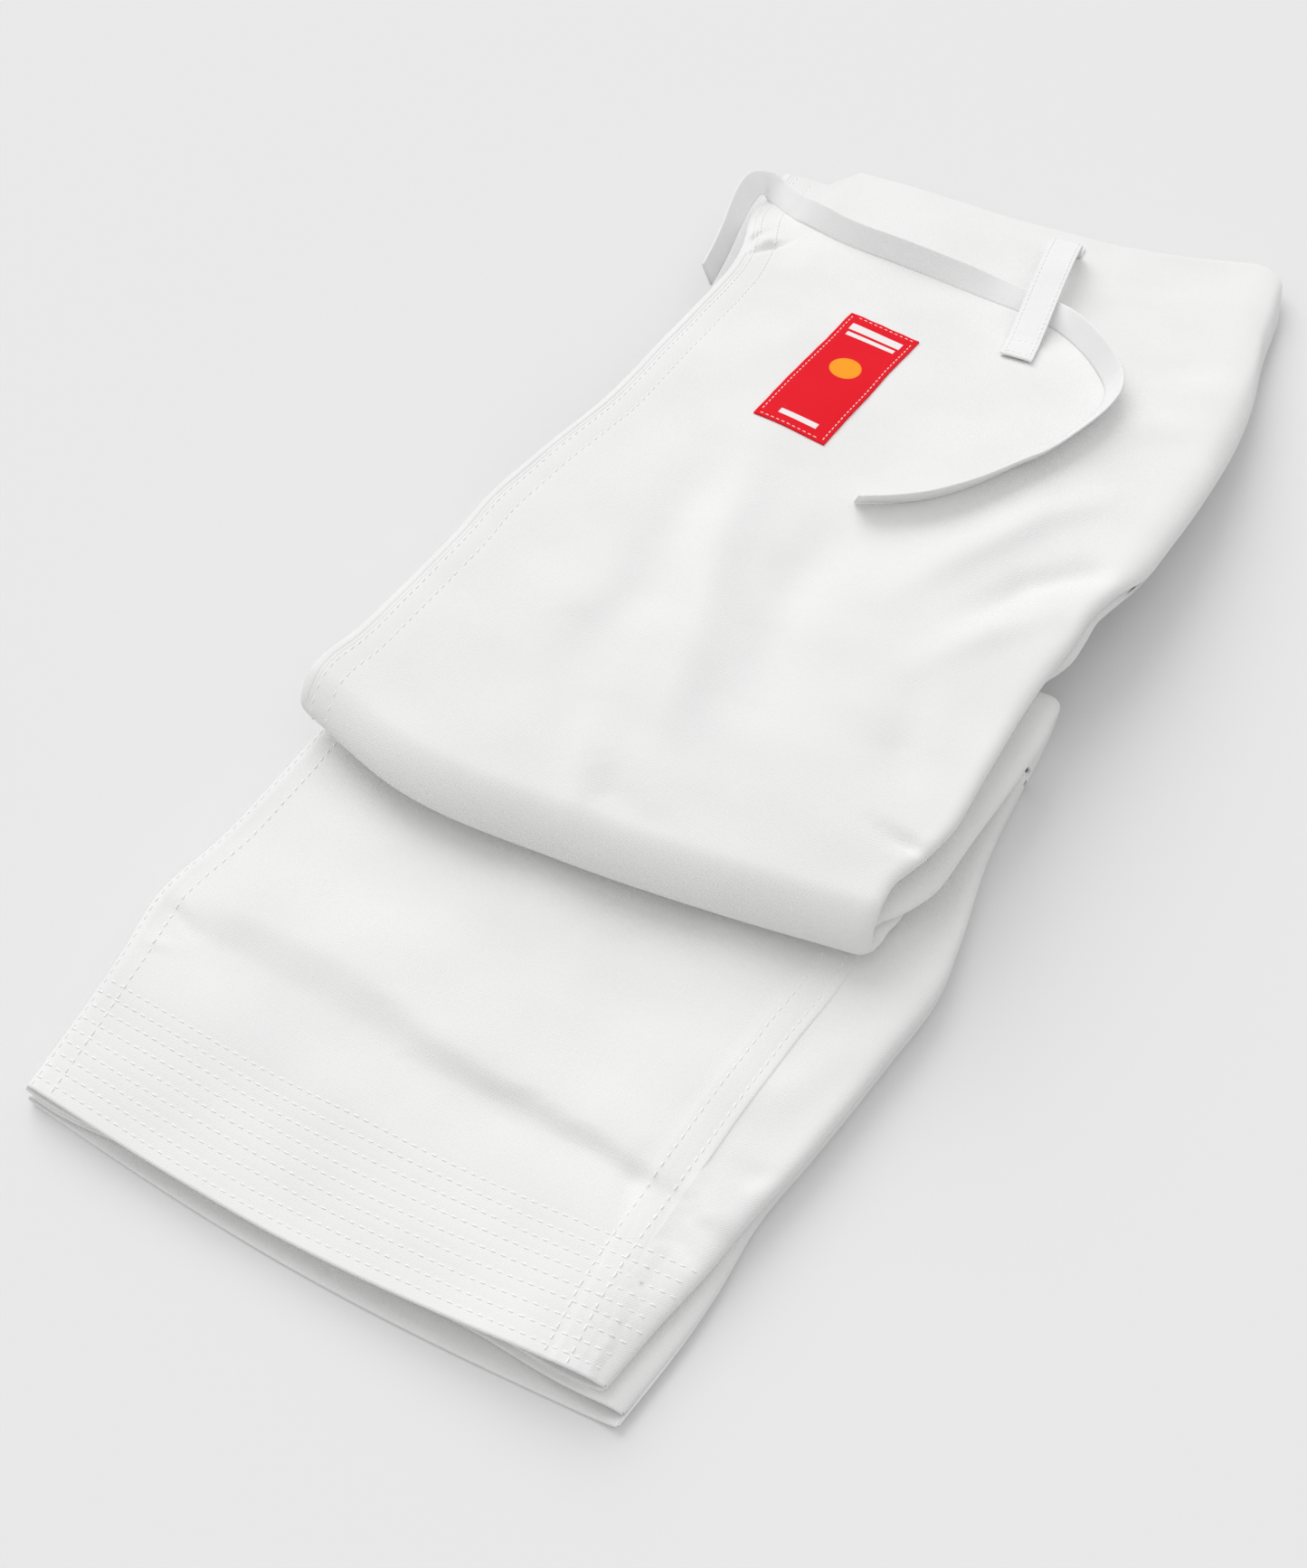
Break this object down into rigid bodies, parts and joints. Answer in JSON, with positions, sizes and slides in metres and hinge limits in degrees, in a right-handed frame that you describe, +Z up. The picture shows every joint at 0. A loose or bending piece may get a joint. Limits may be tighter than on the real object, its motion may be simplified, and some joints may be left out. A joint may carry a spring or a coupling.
{
  "type": "martial arts uniform trousers",
  "caption": "Folded white cotton karate trousers with stitched hems, casing waist, drawstring through a front loop and a red label.",
  "frame": {"origin": "floor point under the middle of the folded trousers' bounding box", "axes": "+X across the garment towards the inseam, +Y from the leg hems to the waist, +Z up"},
  "size_m": [0.3076, 0.646, 0.0507],
  "materials": {
    "leg_canvas": "heavy plain-weave cotton canvas, bleached white",
    "hem_canvas": "the same canvas with rows of stitching",
    "waistband_canvas": "the same canvas, gathered by elastic at the side",
    "gusset_canvas": "the same canvas",
    "tape": "folded cotton tape with an edge stitch",
    "elastic": "woven elastic",
    "label": "woven red label with a white stitched border"
  },
  "bodies": {
    "shin": {"right_front_hem": "hem_canvas", "right_back_hem": "hem_canvas", "left_back_hem": "hem_canvas", "left_front_hem": "hem_canvas", "right_front_shin": "leg_canvas", "right_back_shin": "leg_canvas", "left_back_shin": "leg_canvas", "left_front_shin": "leg_canvas", "left_rear_fold": "leg_canvas", "right_rear_fold": "leg_canvas"},
    "knee": {"right_front_knee": "leg_canvas", "right_back_knee": "leg_canvas", "left_back_knee": "leg_canvas", "left_front_knee": "leg_canvas", "left_front_fold": "leg_canvas", "right_front_fold": "leg_canvas"},
    "thigh": {"right_front_thigh": "leg_canvas", "right_back_thigh": "leg_canvas", "left_back_thigh": "leg_canvas", "left_front_thigh": "leg_canvas"},
    "seat": {"right_front_seat": "leg_canvas", "right_back_seat": "leg_canvas", "left_back_seat": "leg_canvas", "left_front_seat": "leg_canvas", "right_front_waistband": "waistband_canvas", "right_back_waistband": "waistband_canvas", "left_back_waistband": "waistband_canvas", "left_front_waistband": "waistband_canvas", "left_elastic": "elastic", "right_elastic": "elastic", "crotch_gusset": "gusset_canvas", "label_patch": "label", "drawstring_loop": "tape", "drawstring": "tape", "drawstring_in_casing": "tape"}
  },
  "joints": [
    {"name": "knee_fold", "type": "hinge", "parent": "shin", "child": "knee", "pos_m": [0, 0.00302, 0.01685], "axis": [-1, 0, 0], "range_deg": [0, 179.5], "deforming": ["left_rear_fold", "right_rear_fold"]},
    {"name": "thigh_fold", "type": "hinge", "parent": "knee", "child": "thigh", "pos_m": [0, -0.12698, 0.03385], "axis": [1, 0, 0], "range_deg": [0, 179.5], "deforming": ["left_front_fold", "right_front_fold"]},
    {"name": "seat_drop", "type": "hinge", "parent": "thigh", "child": "seat", "pos_m": [0, 0.02102, 0.034], "axis": [1, 0, 0], "range_deg": [0, 6.47]}
  ],
  "couplings": [
    {"joint": "thigh_fold", "follows": "knee_fold", "ratio": 1},
    {"joint": "seat_drop", "follows": "knee_fold", "ratio": 0.036}
  ]
}
